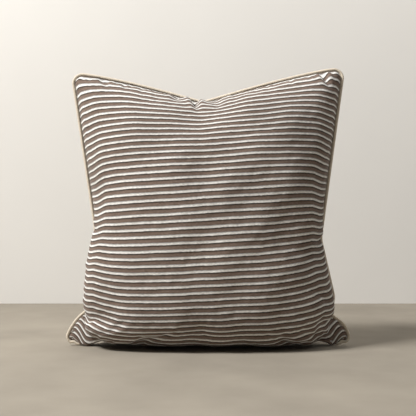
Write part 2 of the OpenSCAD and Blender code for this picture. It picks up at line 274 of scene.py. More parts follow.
def low_side(s):
    """The bottom seam: level along the zip and lower at the corners."""
    x = s * (low_half - ARC_45 * EAR_R)
    z = LOW_Z + (SEAM_TOP_Z - LOW_Z) * ease((rise_from - np.abs(x)) / RISE_RUN)
    return np.stack([x, z + arc_drop(x, low_half, EAR_R)], 1)


def upright_side(s, side):
    """A side seam: straight runs between the stations, softened over 7 mm, and an arc at each corner."""
    peak = right_z if side > 0 else left_z
    z0, z1 = LOW_Z + ARC_45 * EAR_R, peak - ARC_45 * CORNER_R
    z = z0 + (z1 - z0) * (s + 1) / 2
    heights, halves = zip((LOW_Z + EAR_R, low_half), *STATIONS[side], (peak - CORNER_R, top_half))
    half = np.mean([np.interp(z + k, heights, halves) for k in np.linspace(-0.007, 0.007, 13)], 0)
    past_top, past_low = z - peak + CORNER_R, LOW_Z + EAR_R - z
    half = np.where(past_top > 0, top_half, np.where(past_low > 0, low_half, half))
    cut = arc_drop(np.maximum(0, past_top), CORNER_R, CORNER_R)
    cut = cut + arc_drop(np.maximum(0, past_low), EAR_R, EAR_R)
    return np.stack([side * (half - cut), z], 1)


def run_along(points):
    """The distance along a line of points to each of them."""
    return np.r_[0, np.cumsum(np.linalg.norm(np.diff(points, axis=0), axis=1))]


def read_at(line, run, at):
    """Every column of a line, read at distances along it."""
    return np.stack([np.interp(at, run, column) for column in line.T], 1)


def evenly(line, cells, slip=0.0):
    """Places along a line at even distances, so each cell of cloth gets an even share of the seam. Slip
    moves the cloth along the seam, most in the middle, by a share of the seam's length."""
    run = run_along(line)
    share = np.linspace(0, 1, cells + 1)
    return read_at(line, run, run[-1] * (share + slip * np.sin(np.pi * share)))


CELLS = 64
fine = np.linspace(-1, 1, 4001)
low, top = evenly(low_side(fine), CELLS), evenly(top_side(fine), CELLS)
top_line = evenly(top_side(fine, 0.0), CELLS)
left = evenly(upright_side(fine, -1), CELLS, slip=-0.029)
right = evenly(upright_side(fine, 1), CELLS, slip=0.012)
for side_name, line in (("top", top), ("bottom", low), ("left", left), ("right", right)):
    print(side_name, "seam", round(float(run_along(line)[-1]), 4), "m")

# %% [markdown]
# ## Blowing the cover up
# A first shape fills the outline with a blend of its four sides, each point weighted by how near it is,
# and domes it to both sides. Blender's Cloth then takes it from there: it knows from a shape key that
# each panel is a flat square, so it finds where the cloth is too long and where it is too short, the
# pressure inside blows it up, and a trough presses the belly from below. It is a trough and not a floor
# because settled stuffing keeps its underside round. The pressure is strongest low down and weak near
# the seam, where the allowances stiffen the cloth. There is none in the two ears, the flat bottom
# corners of the cover, because the case inside has rounder corners. The seam is pinned, and gravity is
# off, because the stuffing carries the cloth. The run ends before the cloth has slid quite as far as it
# would, so its cells next to the zip are evened out afterwards.

# %% The first shape
DROP, SWELL_LEFT, SWELL_RIGHT, HALF_T = 0.046, 0.024, 0.012, 0.100
TROUGH_Y, TROUGH_Z = (0.0, 0.024, 0.060, 0.200), (0.0, 0.0, 0.006, 0.080)
OFF_TROUGH = 0.001
line_u = np.linspace(-1, 1, CELLS + 1)
U, V = np.meshgrid(line_u, line_u, indexing="ij")
share_u, share_v = (U + 1) / 2, (V + 1) / 2


def blend_sides():
    """Each point is the blend of the four sides, less the blend of the four corners; the dent fades
    downwards."""
    a, b = share_u[..., None], share_v[..., None]
    filled = (1 - b) * low[:, None] + b * top_line[:, None] + (1 - a) * left[None] + a * right[None]
    filled = filled - (1 - a) * (1 - b) * low[0] - a * (1 - b) * low[-1]
    filled = filled - (1 - a) * b * top_line[0] - a * b * top_line[-1]
    return filled + b**8 * (top - top_line)[:, None]


def dome():
    """Share of the thickness: round at the seam, thickest low down, and a slight valley under the dent."""
    low_v = V + 0.12 * (1 - V * V)
    valley = 0.08 * np.exp(-(((U + 0.04) / 0.28) ** 2)) * ease((V - 0.1) / 0.9)
    return np.sqrt(np.clip((1 - np.abs(U) ** 2.6) * (1 - np.abs(low_v) ** 2.6), 0, 1)) * (1 - valley)


# the ears: how far each one's fold starts from its corner, along the bottom seam and up the side
EARS = {-1: (0.092, 0.072), 1: (0.078, 0.056)}


def past_ear(x, z):
    """0 on the fold across each bottom corner, 1 one ear's depth past it, and negative in the ear, where
    the case's rounded corner doesn't reach and the cover lies flat."""
    half = FLAT / 2
    return np.minimum(*[(half - side * x) / along + (z + half) / up - 1
                        for side, (along, up) in EARS.items()])


beyond = past_ear(U * FLAT / 2, V * FLAT / 2)
stuffed = ease((beyond + 0.15) / 0.3)
flat_seam = blend_sides()
swell = 3.08 * np.abs(U) ** 3 * np.sqrt(np.clip(1 - U * U, 0, 1)) * np.sign(U)
swell *= ease((0.25 - V) / 0.6) * ease((1 + V) / 0.25)
hang = np.clip(1 - np.abs(V) ** 8, 0, 1) ** 0.35 * (1 - np.abs(U) ** 6)
hang *= ease((0.6 - V) / 1.4) * ease((1 + V) / 0.06 + 0.25)
start_x = flat_seam[..., 0] + np.where(U < 0, SWELL_LEFT, SWELL_RIGHT) * swell * stuffed
start_y = HALF_T * dome() * (0.12 + 0.88 * ease((beyond + 0.15) / 0.4))
trough_z = OFF_TROUGH + np.interp(start_y, TROUGH_Y, TROUGH_Z)
start_z = np.maximum(flat_seam[..., 1] - DROP * hang * stuffed, trough_z)
first = {side: np.stack([start_x, side * start_y, start_z], -1) for side in (FRONT, BACK)}
print("first shape", round(2 * HALF_T * float(dome().max()), 3), "m thick")

# %% The cloth simulation
WEIGHT_STEPS = 40
on_seam = (np.abs(U) > 0.9999) | (np.abs(V) > 0.9999)
SIDE = CELLS + 1
index = np.arange(SIDE * SIDE).reshape(SIDE, SIDE)
back_index = index.copy()
back_index[~on_seam] = SIDE * SIDE + np.arange((~on_seam).sum())


def weights_of(cover, name, weight):
    """A vertex group with a weight for each point, rounded to a fortieth."""
    group = cover.vertex_groups.new(name=name)
    steps = np.round(weight * WEIGHT_STEPS).astype(int)
    for step in np.unique(steps[steps > 0]):
        group.add(np.flatnonzero(steps == step).tolist(), step / WEIGHT_STEPS, "REPLACE")


def blown_up(pressure=6.5, frames=34):
    """Both panels, welded along the seam, after the cloth has been blown up."""
    points = np.concatenate([first[FRONT].reshape(-1, 3), first[BACK][~on_seam]])
    quads = np.concatenate([grid_quads(SIDE, SIDE), back_index.ravel()[grid_quads(SIDE, SIDE, flip=True)]])
    cover = mesh_object("cover_trial", points, quads)
    cut = np.stack([U, 0 * U, V], -1) * FLAT / 2
    cover.shape_key_add(name="Basis")
    flat_key = cover.shape_key_add(name="flat")
    flat_points = np.concatenate([cut.reshape(-1, 3), cut[~on_seam]])
    flat_key.data.foreach_set("co", flat_points.astype(np.float32).ravel())
    flat_key.value = 0
    pins = cover.vertex_groups.new(name="seam")
    pins.add(index[on_seam].tolist(), 1.0, "REPLACE")
    seam_near = FLAT / 2 * (1 - np.maximum(np.abs(U), np.abs(V)))
    push = stuffed * (1 - 0.45 * share_v) * (0.15 + 0.85 * ease(seam_near / 0.055))
    weights_of(cover, "stuffing", np.concatenate([push.ravel(), push[~on_seam]]))
    cloth = cover.modifiers.new("cloth", "CLOTH")
    how = cloth.settings
    how.rest_shape_key, how.vertex_group_mass = flat_key, "seam"
    how.quality, how.mass, how.air_damping = 5, 0.3, 2
    how.tension_stiffness = how.compression_stiffness = 40
    how.shear_stiffness, how.bending_stiffness = 10, 0.5
    how.tension_damping = how.compression_damping = how.shear_damping = 5
    how.bending_damping = 0.5
    how.use_pressure, how.uniform_pressure_force = True, pressure
    how.vertex_group_pressure = "stuffing"
    how.effector_weights.gravity = 0
    cloth.collision_settings.distance_min = OFF_TROUGH
    rows = [(-y, z) for y, z in zip(TROUGH_Y[:0:-1], TROUGH_Z[:0:-1])]
    rows += list(zip(TROUGH_Y[1:], TROUGH_Z[1:]))
    trough = [(x, y, z - OFF_TROUGH) for y, z in rows for x in (-1, 1)]
    floor = mesh_object("floor_trial", trough, grid_quads(len(rows), 2, flip=True))
    floor.modifiers.new("floor", "COLLISION")
    floor.collision.thickness_outer = OFF_TROUGH
    cloth.point_cache.frame_end = frames
    for at in range(1, frames + 1):
        scene.frame_set(at)
    shown = cover.evaluated_get(bpy.context.evaluated_depsgraph_get()).data
    settled = np.zeros(len(shown.vertices) * 3, np.float32)
    shown.vertices.foreach_get("co", settled)
    for trial in (cover, floor):
        mesh = trial.data
        bpy.data.objects.remove(trial)
        bpy.data.meshes.remove(mesh)
    scene.frame_set(1)
    return settled.reshape(-1, 3).astype(float)


# %% Evening the cloth under the belly
UNDER, FADE_CELLS = 9, 8


def evened(grid):
    """Slides the cloth along itself in the first cells above the zip, until they are stretched alike."""
    slid = grid.copy()
    for k, column in enumerate(grid[:, :UNDER + 1]):
        run = run_along(column)
        share = ease(min(k, CELLS - k) / FADE_CELLS)
        at = run + share * (np.linspace(0, run[-1], UNDER + 1) - run)
        slid[k, :UNDER + 1] = read_at(column, run, at)
    return slid


settled = blown_up()
coarse = {FRONT: evened(settled[index]), BACK: evened(settled[back_index])}
print("blown up", np.ptp(settled[:, 1]).round(4), "m thick")

# %% [markdown]
# ## From the simulation to two sewn panels
# The simulated grid is coarse, so it is read again on a finer one by smooth cubics. The two ears are
# blended in past their folds: nearly flat cloth that stands on the floor. Then come the folds that a
# real cover has and a membrane hasn't: a crease over each ear where the belly hangs over it, short
# pulls from the waist, small puckers all along the corded seam, crumples beside the chop. Each fold is
# a groove with a raised lip on each side, pressed in along its own line. The dips have the same form but
# pull the front's cloth down, so that its stripes bend beside the chop. Written as lines
# on the flat pattern, they can all be moved and measured.

# %% A finer grid
FINE = 160


def finer(cells, more):
    """The matrix that reads more + 1 even places off cells + 1 samples with Catmull-Rom cubics, each end
    being carried on straight."""
    t = np.linspace(0, cells, more + 1)
    i = np.minimum(t.astype(int), cells - 1)
    f = t - i
    weights = (-0.5 * f + f**2 - 0.5 * f**3, 1 - 2.5 * f**2 + 1.5 * f**3,
               0.5 * f + 2 * f**2 - 1.5 * f**3, -0.5 * f**2 + 0.5 * f**3)
    read = np.zeros((more + 1, cells + 3))
    for k, weight in enumerate(weights):
        read[np.arange(more + 1), i + k] += weight
    carried = np.zeros((cells + 3, cells + 1))
    carried[1:-1] = np.eye(cells + 1)
    carried[0, :2], carried[-1, -2:] = (2, -1), (-1, 2)
    return read @ carried


reader = finer(CELLS, FINE)
smooth = {side: np.einsum("ia,abk,jb->ijk", reader, coarse[side], reader) for side in (FRONT, BACK)}
flat_line = np.linspace(-FLAT / 2, FLAT / 2, FINE + 1)
FX, FZ = np.meshgrid(flat_line, flat_line, indexing="ij")
to_seam = FLAT / 2 - np.maximum(np.abs(FX), np.abs(FZ))
from_bottom = FZ + FLAT / 2


# how far in the ear follows the side seam's slant, and how far in it is down at the floor
EAR_SLANT, EAR_REACH = 0.06, 0.03
# its height over the floor, the roundness of its turn there, its half thickness and how soon it has that
EAR_FLOOR, EAR_TURN, EAR_Y, EAR_FILLS = 0.0015, 0.0025, 0.016, 0.016


def ear(grid, panel_side, end):
    """The flat ear at one end: cloth leaves the side seam on its slant, hangs from the bottom seam down
    to the floor in front of it, and turns up again there."""
    edge = grid[0 if end < 0 else -1]
    corner, bottom = edge[0], grid[:, :1]
    from_side = FLAT / 2 - end * FX
    x = bottom[..., 0] + (edge[None, :, 0] - corner[0]) * np.exp(-from_side / EAR_SLANT)
    reach = (corner[2] - EAR_FLOOR) * ease(from_side / EAR_REACH)
    past_turn = edge[None, :, 2] - corner[2] - (bottom[..., 2] - corner[2] + reach)
    soft = np.sqrt(past_turn**2 + EAR_TURN**2) - EAR_TURN * np.exp(-np.abs(past_turn) / (2 * EAR_TURN))
    full = (1 - np.exp(-from_side / EAR_REACH)) * (1 - np.exp(-from_bottom / EAR_FILLS))
    y = panel_side * EAR_Y * full
    return np.stack([x, y, corner[2] - reach + soft], -1)


def with_ears(grid, panel_side):
    """The panel with both ears blended into it past their folds."""
    keep = ease((past_ear(FX, FZ) + 0.35) / 0.9)[..., None]
    both = np.where(FX[..., None] < 0, ear(grid, panel_side, -1), ear(grid, panel_side, 1))
    return keep * grid + (1 - keep) * both


smooth = {side: with_ears(smooth[side], side) for side in (FRONT, BACK)}


def normals(grid, side):
    """Unit normals that point out of the cover: the cross product of the two directions of the grid."""
    n = np.cross(np.gradient(grid, axis=0), np.gradient(grid, axis=1)) * -side
    return n / np.linalg.norm(n, axis=2, keepdims=True)


# %% Folds, puckers and lumps
# each fold: where it starts and ends on the flat pattern, half its width, its depth, in millimetres
FRONT_FOLDS = [
    ((-250, -178), (-208, -202), 4.5, 3.6),
    ((250, -196), (214, -217), 4.5, 3.2),
    ((-248, -226), (-196, -238), 4.5, 1.6),
    ((246, -216), (204, -230), 4.5, 3.0),
    ((-250, -6), (-208, -14), 5.0, 2.6),
    ((250, -52), (204, -40), 5.5, 3.2),
    ((-28, 254), (-20, 214), 4.0, 4.0),
    ((-58, 250), (-54, 236), 4.0, 2.0),
    ((208, 254), (232, 206), 4.0, 5.0),
    ((-203, 250), (-190, 237), 3.5, 2.6),
    ((-176, 250), (-166, 239), 3.5, 2.2),
    ((-60, -232), (40, -236), 5.0, 1.4),
]
# places where the front's stripes dip, in the same form: the pull of the chop and of the folded corner
FRONT_DIPS = [
    ((-28, 256), (-20, 190), 6.0, 9.0),
    ((12, 248), (18, 186), 10.0, 3.0),
    ((-60, 252), (-56, 214), 8.0, 3.0),
    ((206, 254), (226, 206), 5.0, 5.0),
    ((-198, 254), (-186, 226), 5.0, 3.0),
    ((-160, 254), (-150, 230), 5.0, 2.5),
]
BACK_FOLDS = [
    ((-250, -180), (-190, -204), 6.5, 6.5),
    ((250, -194), (188, -212), 6.0, 6.5),
    ((-250, -4), (-204, -12), 5.0, 2.6),
    ((250, -50), (206, -40), 5.5, 3.0),
    ((-9, 250), (-4, 224), 5.0, 4.0),
    ((12, 250), (26, 234), 4.5, 2.4),
    ((-206, 250), (-188, 236), 3.5, 2.2),
    ((210, 250), (226, 232), 4.0, 2.6),
]


def fold(start, end, half_width, depth):
    """A groove along a line: a bell across it, a raised lip either side, fading towards the line's end."""
    start, end = np.array(start) / 1000, np.array(end) / 1000
    along = end - start
    t = ((FX - start[0]) * along[0] + (FZ - start[1]) * along[1]) / (along @ along)
    near = np.clip(t, 0, 1)
    away = np.hypot(FX - start[0] - near * along[0], FZ - start[1] - near * along[1]) / (half_width / 1000)
    groove = np.exp(-(away**2)) - 0.38 * np.exp(-((away - 1.9) ** 2) / 1.1)
    return -depth / 1000 * groove * (1 - ease((near - 0.35) / 0.65) * 0.95)


def ripple(seed, wavelength, waves=14):
    """A sum of sine waves in every direction, all about one wavelength long, from about -1 to 1."""
    rng = np.random.default_rng(seed)
    turn, phase = rng.uniform(0, 2 * np.pi, (2, waves))
    pitch = 2 * np.pi / (wavelength * rng.uniform(0.75, 1.35, waves))
    place = np.cos(turn)[:, None, None] * FX + np.sin(turn)[:, None, None] * FZ
    return np.sin(pitch[:, None, None] * place + phase[:, None, None]).sum(0) / math.sqrt(waves)


def seam_puckers(seed):
    """Small ridges square to the seam, where the stitches draw the cloth up: they fade within 16 mm."""
    rng = np.random.default_rng(seed)
    run = np.where(np.abs(FX) > np.abs(FZ), FZ, FX)
    waves = zip((0.011, 0.0155, 0.021, 0.034), rng.uniform(0, 6, 4))
    wave = sum(np.sin(2 * np.pi * run / length + phase) for length, phase in waves)
    fade = ease(to_seam / 0.004) * np.exp(-to_seam / 0.009)
    return 0.0008 * wave * fade


def pressed(side, folds, seed):
    """One panel with its folds, puckers and soft lumps, and the front with its dips."""
    rise = sum(fold(*f) for f in folds)
    rise = rise + seam_puckers(seed) + 0.0011 * ripple(seed + 1, 0.085) * ease(to_seam / 0.03)
    rise = rise + 0.00025 * ripple(seed + 2, 0.022) * ease(to_seam / 0.01)
    rise = rise * ease(to_seam / 0.006)
    moved = smooth[side] + normals(smooth[side], side) * rise[..., None]
    if side == FRONT:
        moved[..., 2] += sum(fold(*f) for f in FRONT_DIPS) * ease(to_seam / 0.010)
    moved[..., 2] = np.maximum(moved[..., 2], 0.0004)
    return moved


panel = {FRONT: pressed(FRONT, FRONT_FOLDS, 5), BACK: pressed(BACK, BACK_FOLDS, 11)}
print("front panel reaches y =", panel[FRONT][..., 1].min().round(4))

# %% [markdown]
# ## Panels with their seam allowances
# Each panel is a real sheet, 0.8 mm thick: the outside, a turn at the seam, the allowance that lies
# flat behind the cording, and the inside. The front panel's turn is just in front of the cording's
# flange and the back panel's just behind it. Along the zip the back panel steps back far enough for
# the chain and its slider. The cloth's map lies a little higher at the sides than the cloth itself, so
# the stripes droop towards the side seams, as cloth that has been sheared there does.

# %% Rings round a panel
def ring_of(size):
    """The numbers, in order, of the points round the edge of a square grid."""
    number = np.arange(size * size).reshape(size, size)
    return np.r_[number[:-1, 0], number[-1, :-1], number[:0:-1, -1], number[0, :0:-1]]


ring_index = ring_of(FINE + 1)
MID_Z, HALF_SPAN = CUSHION_H / 2, CUSHION_H / 2
seam_ring = smooth[FRONT].reshape(-1, 3)[ring_index]


def drawn_in(points, by):
    """Points moved towards the middle of the cushion, in proportion to their distance from it."""
    keep = 1 - by / HALF_SPAN
    return np.stack([points[:, 0] * keep, points[:, 1], MID_Z + (points[:, 2] - MID_Z) * keep], 1)


def zip_step(x, v):
    """How far the back panel is set back for the zip: nothing above the zip or at the corners."""
    return ZIP_GAP * ease((rise_from - np.abs(x)) / RISE_RUN) * ease((-0.5 - v) / 0.5)


def ring_quads(a, b):
    """Faces between two rings of point numbers."""
    return np.stack([a, b, np.roll(b, -1), np.roll(a, -1)], 1)


# %% The droop of the stripes
UPPER_DROOP, LOWER_DROOP, DROOP_IN = 0.011, 0.006, 0.042


def droop():
    """How far the cloth is sheared down at the side seams: most in the upper part, and not in the ears."""
    share = FZ / FLAT + 0.5
    amount = UPPER_DROOP * ease((share - 0.22) / 0.3) * ease((1.02 - share) / 0.12)
    amount += LOWER_DROOP * ease((0.36 - share) / 0.2) * ease((share - 0.13) / 0.08)
    return amount * np.exp(-(((FLAT / 2 - np.abs(FX)) / DROOP_IN) ** 1.5))


# %% The panel as a closed sheet
def sheet_of(side):
    """Points, faces and places on the cloth of a panel, all four layers joined."""
    grid = panel[side].copy()
    v_line = FZ / (FLAT / 2)
    grid[..., 1] += side * RIM_Y + (zip_step(grid[..., 0], v_line) if side == BACK else 0)
    outer = grid.reshape(-1, 3)
    inner = (grid - normals(grid, side) * CLOTH_T).reshape(-1, 3)
    rim = outer[ring_index]
    inner[ring_index] = drawn_in(rim, 0.0012) + (0, side * CLOTH_T, 0)
    inner[:, 2] = np.maximum(inner[:, 2], 0.0008)
    tail = drawn_in(rim, SEAM_ALLOW)
    tail_low = tail + (0, side * CLOTH_T, 0)
    count, ring = len(outer), len(ring_index)
    points = np.concatenate([outer, inner, tail, tail_low])
    first_tail = 2 * count + np.arange(ring)
    joins = [ring_quads(ring_index, first_tail), ring_quads(first_tail, first_tail + ring),
             ring_quads(first_tail + ring, count + ring_index)]
    layers = [grid_quads(FINE + 1, FINE + 1), grid_quads(FINE + 1, FINE + 1, flip=True, start=count)]
    faces = np.concatenate(layers + joins)
    flat = np.stack([FX, FZ + droop()], -1).reshape(-1, 2)
    past = flat[ring_index] * (1 + 2 * SEAM_ALLOW / FLAT)
    uv = np.concatenate([flat, flat, past, past])
    return points, faces if side == FRONT else faces[:, ::-1], uv


# %% [markdown]
# ## The striped cloth
# A yarn-dyed cotton: across every 10.6 mm a cream stripe, a thin blue-grey line above it, and a brown
# band shot with darker yarns that ends in charcoal. The stripes follow the flat pattern, so they are
# read from the cloth's own map and bend wherever the panel does. Slubs make the edges nubby: noise that
# is long along the yarn moves the place where the ramp is read. A rib of yarns gives the bump.

# %% Striped cloth
CREAM, GREY_LINE, BROWN = (0.90, 0.88, 0.84), (0.32, 0.31, 0.31), (0.255, 0.184, 0.145)
DARK_YARN, CHARCOAL = (0.110, 0.076, 0.060), (0.028, 0.021, 0.018)
YARNS = 12


def striped_cloth():
    """Stripe colour from the place across the stripes, with slubs, heather and a ribbed weave."""
    made, tree, shader = finish("striped_cloth", 0.92, sheen=0.12)
    place = node(tree, "UVMap", uv_map="cloth").outputs["UV"]
    across = node(tree, "SeparateXYZ", {"Vector": place}).outputs["Y"]
    drift = maths(tree, "MULTIPLY", maths(tree, "SUBTRACT", noise(tree, place, 13), 0.5), 0.0030)
    slub = noise(tree, place, 300, (0.45, 3.2, 1), detail=3.0)
    nub = maths(tree, "MULTIPLY", maths(tree, "SUBTRACT", slub, 0.5), 0.0014)
    moved = maths(tree, "ADD", across, maths(tree, "ADD", drift, nub))
    pitches = maths(tree, "MULTIPLY", moved, STRIPES / FLAT)
    colour = ramp(tree, maths(tree, "FRACT", pitches), [
        (0.00, CHARCOAL), (0.05, CREAM), (0.24, CREAM), (0.37, GREY_LINE), (0.45, BROWN), (0.52, DARK_YARN),
        (0.56, BROWN), (0.65, BROWN), (0.69, DARK_YARN), (0.73, BROWN), (0.87, DARK_YARN), (0.95, CHARCOAL)])
    heather = noise(tree, place, 700, (0.3, 2.2, 1), detail=2.0)
    colour = tinted(tree, colour, heather, 0.70, 1.22)
    colour = tinted(tree, colour, noise(tree, place, 9), 0.90, 1.08)
    tree.links.new(colour, shader.inputs["Base Color"])
    rib = maths(tree, "ABSOLUTE", maths(tree, "SINE", maths(tree, "MULTIPLY", pitches, math.pi * YARNS)))
    height = maths(tree, "ADD", maths(tree, "MULTIPLY", rib, 0.6), heather)
    relief(tree, shader, height, 0.45, 0.0005)
    return made


CLOTH = striped_cloth()
covers = {}
for side, name in ((FRONT, "front_panel"), (BACK, "back_panel")):
    points, faces, uv = sheet_of(side)
    covers[side] = piece(name + "_cloth", points, faces, uv, CLOTH, [name])
    # the allowance is shaded flat, or the sharp turn at the seam would darken the cloth next to it
    outside_or_in = np.arange(len(faces)) < 2 * FINE * FINE
    covers[side].data.polygons.foreach_set("use_smooth", outside_or_in)

# %% [markdown]
# ## Cording
# A twisted cotton cord lies in a strip of plain cream cloth cut on the bias. The strip's two edges lie
# together as a flange, which the seam catches between the panels. Both are profiles carried along the
# seam's own line: the path is set out by the cord's distance from the seam, and each point of the
# profile is a distance outwards and a distance from front to back.

# %% Paths and profiles
def path_round(points, out, step):
    """The seam's line set out by a distance, at even steps, and the outward direction at each place."""
    along = np.roll(points, -1, 0) - np.roll(points, 1, 0)
    outward = np.stack([along[:, 2], 0 * along[:, 0], -along[:, 0]], 1)
    outward /= np.linalg.norm(outward, axis=1, keepdims=True)
    line = points + out * outward if out >= 0 else drawn_in(points, -out)
    both = np.concatenate([np.hstack([line, outward]), np.hstack([line[:1], outward[:1]])])
    run = run_along(both[:, :3])
    at = np.arange(0, run[-1], run[-1] / round(run[-1] / step))
    read = read_at(both, run, at)
    return read[:, :3], read[:, 3:] / np.linalg.norm(read[:, 3:], axis=1, keepdims=True), at, run[-1]


def carried(profile, path, outward, at):
    """A closed profile of (outwards, across) points, one row for each place of the path, carried along it."""
    profile = np.broadcast_to(profile, (len(path), *np.shape(profile)[-2:]))
    points = path[:, None] + profile[..., :1] * outward[:, None]
    points[..., 1] += profile[..., 1]
    uv = np.stack(np.broadcast_arrays(at[:, None], run_along(profile[0])[None]), -1).reshape(-1, 2)
    return points.reshape(-1, 3), uv


def unrolled(uv, faces, lengths):
    """Places on the cloth for each corner, with the faces that close a ring carried past its end."""
    corners = uv[faces].copy()
    for k, length in enumerate(lengths):
        jump = np.ptp(corners[..., k], axis=1) > length / 2
        corners[..., k] += length * (jump[:, None] & (corners[..., k] < length / 2))
    return corners


def circle(radius, start, stop, count):
    """Points (outwards, across) on a circle between two angles, in degrees."""
    angle = np.radians(np.linspace(start, stop, count))
    return np.stack([radius * np.cos(angle), radius * np.sin(angle)], 1)


# %% Plain cloth, cord and thread finishes
def woven(name, colour, yarns, turn=0.0, bump=0.35, sheen=0.1):
    """A plain weave on the cloth's own map: two sets of yarns crossing, and faint slubs in the colour."""
    made, tree, shader = finish(name, 0.9, sheen=sheen)
    place = node(tree, "UVMap", uv_map="cloth").outputs["UV"]
    turned = node(tree, "Mapping", {"Vector": place, "Rotation": (0, 0, turn)}).outputs[0]
    split = node(tree, "SeparateXYZ", {"Vector": turned})
    turns = [maths(tree, "MULTIPLY", split.outputs[axis], 2 * math.pi * yarns) for axis in "XY"]
    weave = maths(tree, "MULTIPLY", *[maths(tree, "SINE", turn_of_yarn) for turn_of_yarn in turns])
    slub = noise(tree, turned, yarns * 0.5, (1, 0.25, 1), detail=3.0)
    darker = tuple(c * 0.93 for c in colour)
    cloudy = ramp(tree, noise(tree, turned, 30), [(0.3, colour), (0.7, darker)])
    tree.links.new(tinted(tree, cloudy, slub, 0.86, 1.1), shader.inputs["Base Color"])
    relief(tree, shader, maths(tree, "ADD", weave, slub), bump, 0.0003)
    return made


BIAS = woven("bias_strip", (0.80, 0.71, 0.58), 1300, turn=math.pi / 4)
COTTON = woven("insert_cotton", (0.86, 0.85, 0.81), 2200)
TAPE = woven("zip_tape", (0.64, 0.54, 0.42), 1800)
CORD = woven("filler_cord", (0.85, 0.82, 0.74), 1500)
THREAD = woven("thread", (0.55, 0.46, 0.35), 3500, sheen=0.2)

# %% The cord and its strip
STEP, FLANGE, HAIR, INNER = 0.0024, 0.010, 0.00005, 15
path, outward, at, length = path_round(seam_ring, CORD_OUT, STEP)
print("cording is", round(length, 3), "m long")


def strip_profile():
    """The strip round the cord and its flange: out along the back, round the bead and in along the
    front, with the bead's size wavering a little, as a hand-fed strip does."""
    gap = math.degrees(math.asin(FLANGE_Y / STRIP_R))
    outside = circle(STRIP_R, 180 + gap, 540 - gap, 25)
    inside = circle(CORD_R + HAIR, 539, 181, INNER)
    waver = 1 + 0.03 * np.sin(2 * np.pi * at / 0.041) * np.sin(2 * np.pi * at / 0.27) - 0.02
    tail_in = -FLANGE - CORD_OUT
    tails = [[[tail_in, -FLANGE_Y]], [[tail_in, FLANGE_Y], [tail_in, HAIR]], [[tail_in, -HAIR]]]
    bead = outside[None] * waver[:, None, None]
    fixed = [np.broadcast_to(np.array(t, float), (len(at), len(t), 2)) for t in tails]
    inside = np.broadcast_to(inside, (len(at), INNER, 2))
    return np.concatenate([fixed[0], bead, fixed[1], inside, fixed[2]], 1)


profile = strip_profile()
points, uv = carried(profile, path, outward, at)
faces = grid_quads(len(path), profile.shape[1], wrap=True)
around = np.linalg.norm(np.diff(profile[0], axis=0, append=profile[0][:1]), axis=1).sum()
piping = piece("piping_strip", points, faces, unrolled(uv, faces, (length, around)), BIAS,
               ["piping_cover"])

TWIST, PLY_DEPTH, ROPE_POINTS = 0.011, 0.0004, 14
angle = np.linspace(0, 2 * np.pi, ROPE_POINTS, endpoint=False)
twist = np.abs(np.cos(1.5 * (angle[None] - 2 * np.pi * at[:, None] / TWIST)))
rope = (CORD_R - PLY_DEPTH * (1 - twist))[..., None] * np.stack([np.cos(angle), np.sin(angle)], 1)
points, uv = carried(rope, path, outward, at)
faces = grid_quads(len(path), len(angle), wrap=True)
cord = piece("filler_cord", points, faces, unrolled(uv, faces, (length, 2 * np.pi * CORD_R)), CORD,
             ["piping_cord"])

# %% [markdown]
# ## Stitches
# A seam is a row of stitches: the thread shows on the allowance for a few millimetres, dives through
# the layers and comes up again. Each row here is one thin tube whose distance from the cloth rises and
# falls with the stitch.

# %% Seam thread
THREAD_R, STITCH, STITCH_IN, THREAD_POINTS = 0.0002, 0.0032, 0.0042, 6
thread_profile = circle(THREAD_R, 0, 300, THREAD_POINTS)


def dive_of(run):
    """How deep the thread is at a distance along its row: it dives through the cloth once a stitch."""
    return 0.0006 * np.clip(np.abs(np.sin(np.pi * run / STITCH)) * -3 + 1, 0, 1)


def stitched(side):
    """A row of stitches on one allowance, with its faces and places."""
    line, out, run, _ = path_round(seam_ring, -STITCH_IN, STITCH / 5)
    points, uv = carried(thread_profile, line, out, run)
    surface = RIM_Y + CLOTH_T + THREAD_R
    step = zip_step(line[:, 0], np.where(line[:, 2] < 0.04, -1, 0)) if side == BACK else 0
    points = points.reshape(len(line), -1, 3)
    points[..., 1] += (side * (surface - dive_of(run)) + step)[:, None]
    return points.reshape(-1, 3), grid_quads(len(line), THREAD_POINTS, wrap=True, flip=True), uv


def joined(name, rows, stands_for):
    """Two rows of stitches as one piece."""
    (points_a, faces_a, uv_a), (points_b, faces_b, uv_b) = rows
    faces = np.concatenate([faces_a, faces_b + len(points_a)])
    return piece(name, np.concatenate([points_a, points_b]), faces, np.concatenate([uv_a, uv_b]), THREAD,
                 stands_for)


stitches = joined("seam_stitches", [stitched(side) for side in (FRONT, BACK)], ["seam_thread"])

# %% [markdown]
# ## The zip
# A number 3 coil zip lies behind the cording in the bottom seam: two tapes, each with a row of nylon
# coil, closed by a slider with a pull. The coil is one wire wound into a flattened spiral, so it is
# made as that: a small ring of points carried along a helix. The metal parts keep their CAD shapes.

# %% Tapes and coils
ZIP_LEN, TAPE_END, TAPE_T = 0.350, 0.007, 0.0005
CHAIN_Y, CHAIN_GAP, TOOTH_W, TOOTH_H = 0.0063, 0.0009, 0.0018, 0.0016
TAPE_Z = SEAM_TOP_Z + 0.0005
COIL_TURN, WIRE_R = 0.00127, 0.00032


def straight(start, stop, step):
    """A straight path along X with +Z as its outward direction."""
    x = np.linspace(start, stop, round((stop - start) / step) + 1)
    line = np.stack([x, 0 * x, 0 * x], 1)
    return line, np.broadcast_to((0.0, 0.0, 1.0), line.shape), x - start


def tube_walls(points, ring):
    """Faces round a tube made of rings of points. Its ends are left open."""
    rows = len(points) // ring
    index = np.arange(rows * ring).reshape(rows, ring)
    index = np.hstack([index, index[:, :1]])
    return np.stack([index[:-1, :-1], index[:-1, 1:], index[1:, 1:], index[1:, :-1]], -1).reshape(-1, 4)


